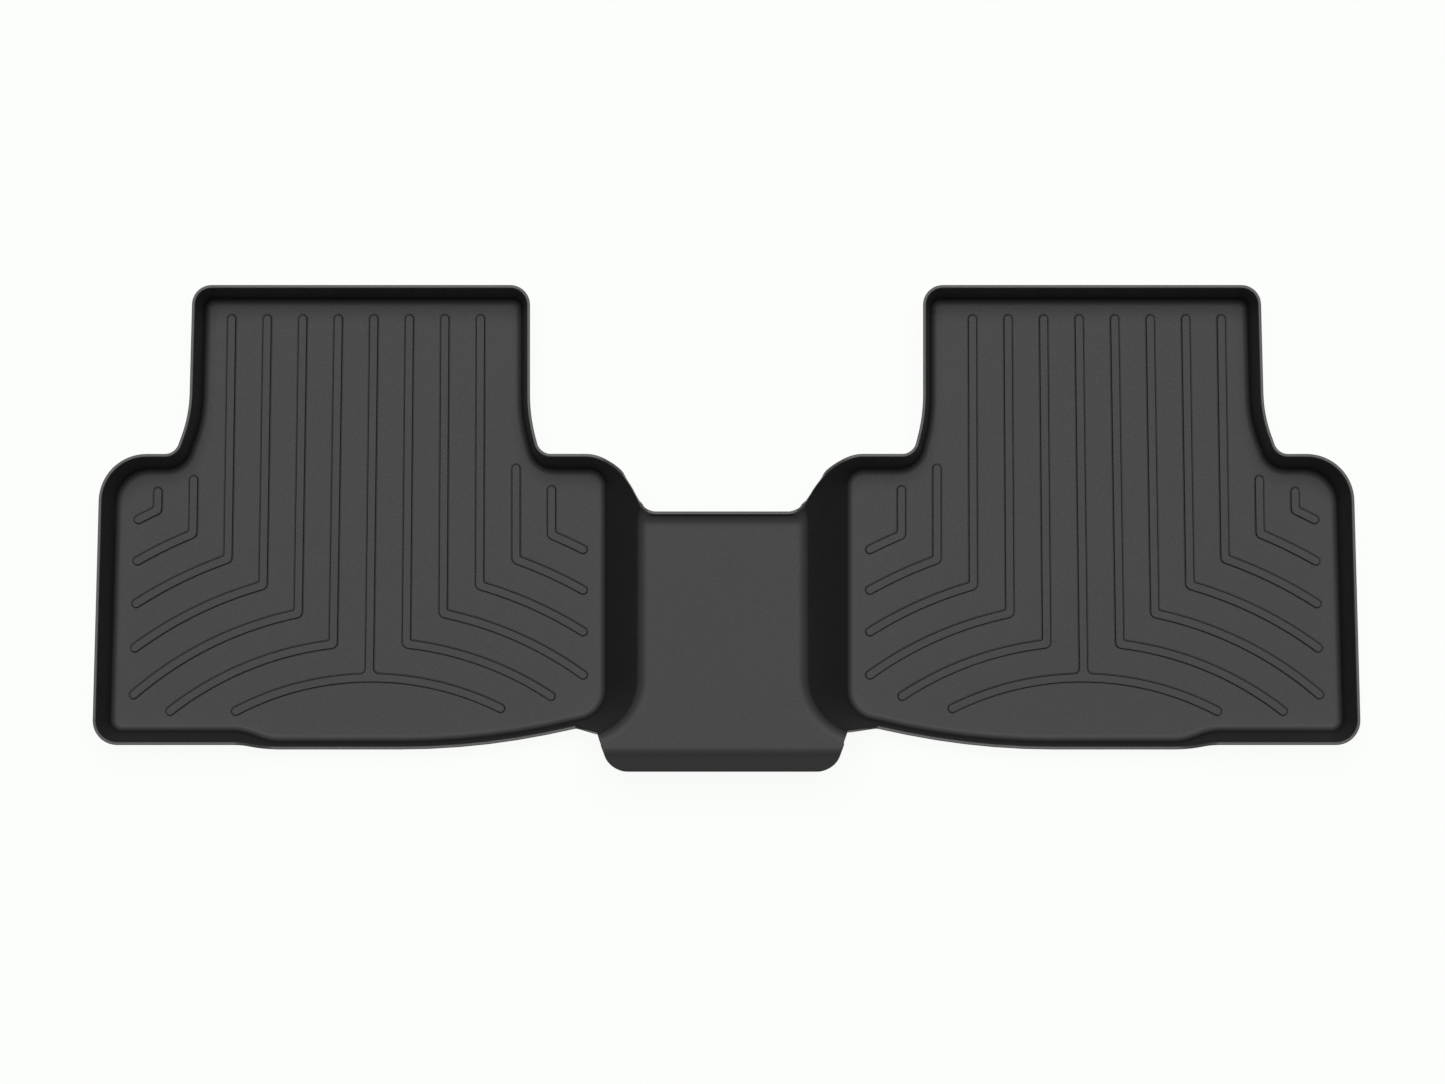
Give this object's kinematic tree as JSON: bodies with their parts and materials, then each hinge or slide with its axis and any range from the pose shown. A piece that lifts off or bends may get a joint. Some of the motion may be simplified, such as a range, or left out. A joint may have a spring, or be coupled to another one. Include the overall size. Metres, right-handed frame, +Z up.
{
  "type": "vehicle floor liner",
  "caption": "One-piece second-row floor liner: two walled footwell trays with raised channelling ribs, joined over the tunnel by a raised bridge with a turned-down rear flange",
  "frame": {"origin": "centre of the bounding box in plan, at the underside of the trays", "axes": "+X across the vehicle, the longest way; +Y towards the vehicle's front; +Z up, away from the carpet"},
  "size_m": [1.3518, 0.5179, 0.1106],
  "materials": {
    "textured_skin": "fine matte grain",
    "stiff_core": "plain, sealed inside",
    "soft_backing": "soft matte"
  },
  "bodies": {
    "root": {"top_wear_layer": "textured_skin", "core_sheet": "stiff_core", "grip_backing": "soft_backing"}
  },
  "joints": []
}
